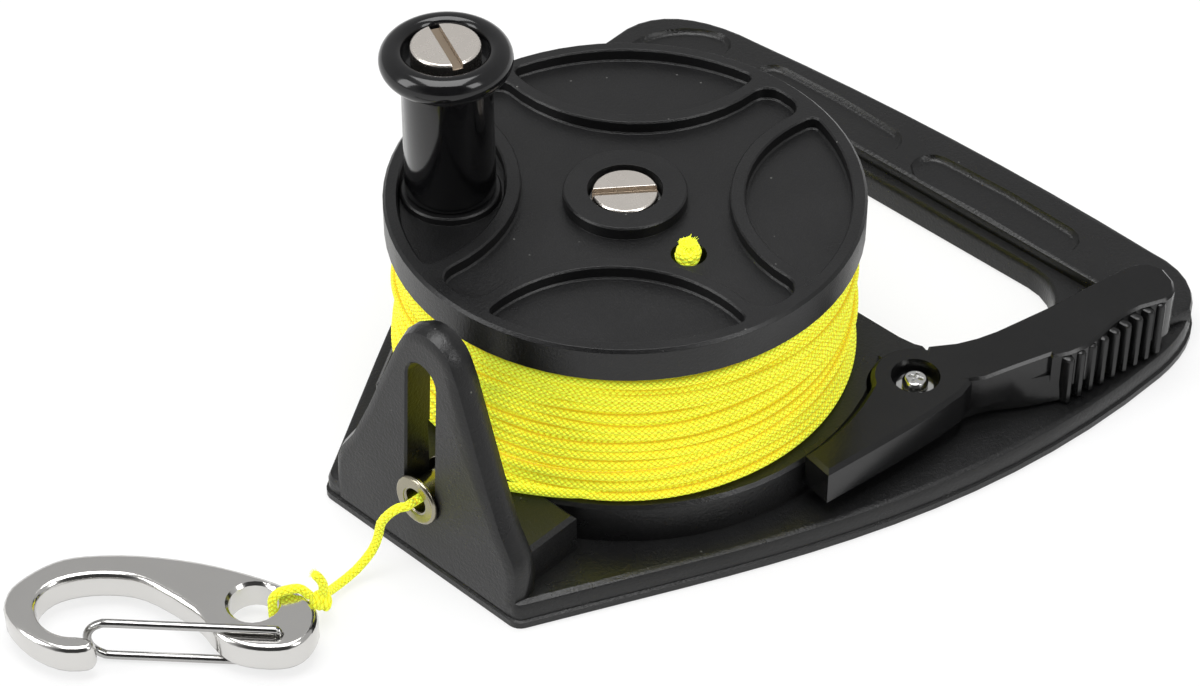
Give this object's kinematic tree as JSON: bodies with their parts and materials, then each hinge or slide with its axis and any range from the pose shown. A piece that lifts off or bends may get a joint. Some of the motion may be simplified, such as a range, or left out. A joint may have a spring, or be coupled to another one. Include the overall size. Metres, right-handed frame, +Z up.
{
  "type": "dive reel",
  "caption": "Hand-held line reel with a D-handle frame, spool with crank grip, brake lever, sliding line guide and steel snap hook on the line.",
  "frame": {"origin": "spool axis at the frame's flat base face", "axes": "+X from the line guide to the D-handle, -Y to the brake lever side, +Z up along the spool axis"},
  "size_m": [0.2779, 0.1819, 0.1008],
  "materials": {
    "frame_black_plastic": "satin, fine grain",
    "spool_black_plastic": "satin",
    "grip_gloss_plastic": "gloss",
    "lever_gloss_plastic": "semi-gloss",
    "bearing_nylon": "satin",
    "screw_nickel": "nickel plated, turned",
    "eyelet_nickel": "nickel plated, warm",
    "insert_brass": "turned",
    "steel_polished": "polished",
    "spring_steel": "drawn wire",
    "line_yellow": "braided, fluorescent yellow",
    "line_core_yellow": "wound line"
  },
  "bodies": {
    "base": {"frame": "frame_black_plastic", "spindle_insert": "insert_brass", "center_screw": "screw_nickel", "center_washer": "steel_polished", "thrust_washer": "bearing_nylon", "lever_insert": "insert_brass", "lever_screw": "steel_polished", "lever_washer": "steel_polished", "lever_bush": "bearing_nylon", "lever_spring": "spring_steel", "line_to_spool": "line_yellow", "free_line": "line_yellow", "line_knot": "line_yellow", "line_loop": "line_yellow", "snap_body": "steel_polished"},
    "spool": {"spool_top_disc": "spool_black_plastic", "spool_drum": "spool_black_plastic", "hub_bushing": "bearing_nylon", "line_core": "line_core_yellow", "line_winding": "line_yellow", "line_end_knot": "line_yellow", "crank_insert": "insert_brass", "crank_screw": "screw_nickel", "crank_sleeve": "steel_polished"},
    "crank": {"crank_grip": "grip_gloss_plastic"},
    "lever": {"brake_lever": "lever_gloss_plastic"},
    "eyelet": {"eyelet_front": "eyelet_nickel", "eyelet_collar": "eyelet_nickel", "line_in_eyelet": "line_yellow"},
    "gate": {"snap_gate": "spring_steel"}
  },
  "joints": [
    {"name": "spool_spin", "type": "hinge", "parent": "base", "child": "spool", "pos_m": [0, 0, 0.035], "axis": [0, 0, 1], "continuous": true},
    {"name": "crank_spin", "type": "hinge", "parent": "spool", "child": "crank", "pos_m": [-0.02624, 0.03072, 0.08], "axis": [0, 0, 1], "continuous": true},
    {"name": "lever_press", "type": "hinge", "parent": "base", "child": "lever", "pos_m": [0.0317, -0.0637, 0.016], "axis": [0, 0, 1], "range_deg": [0, 10], "stiffness_Nm_per_rad": 0.3, "springref_deg": -8.59},
    {"name": "eyelet_slide", "type": "slide", "parent": "base", "child": "eyelet", "axis": [0.0558, 0, 0.9984], "range_m": [0, 0.0344]},
    {"name": "gate_swing", "type": "hinge", "parent": "base", "child": "gate", "pos_m": [-0.1205, -0.0085, 0.0065], "axis": [0, 0, -1], "range_deg": [0, 18], "stiffness_Nm_per_rad": 0.05, "springref_deg": -5.73}
  ]
}
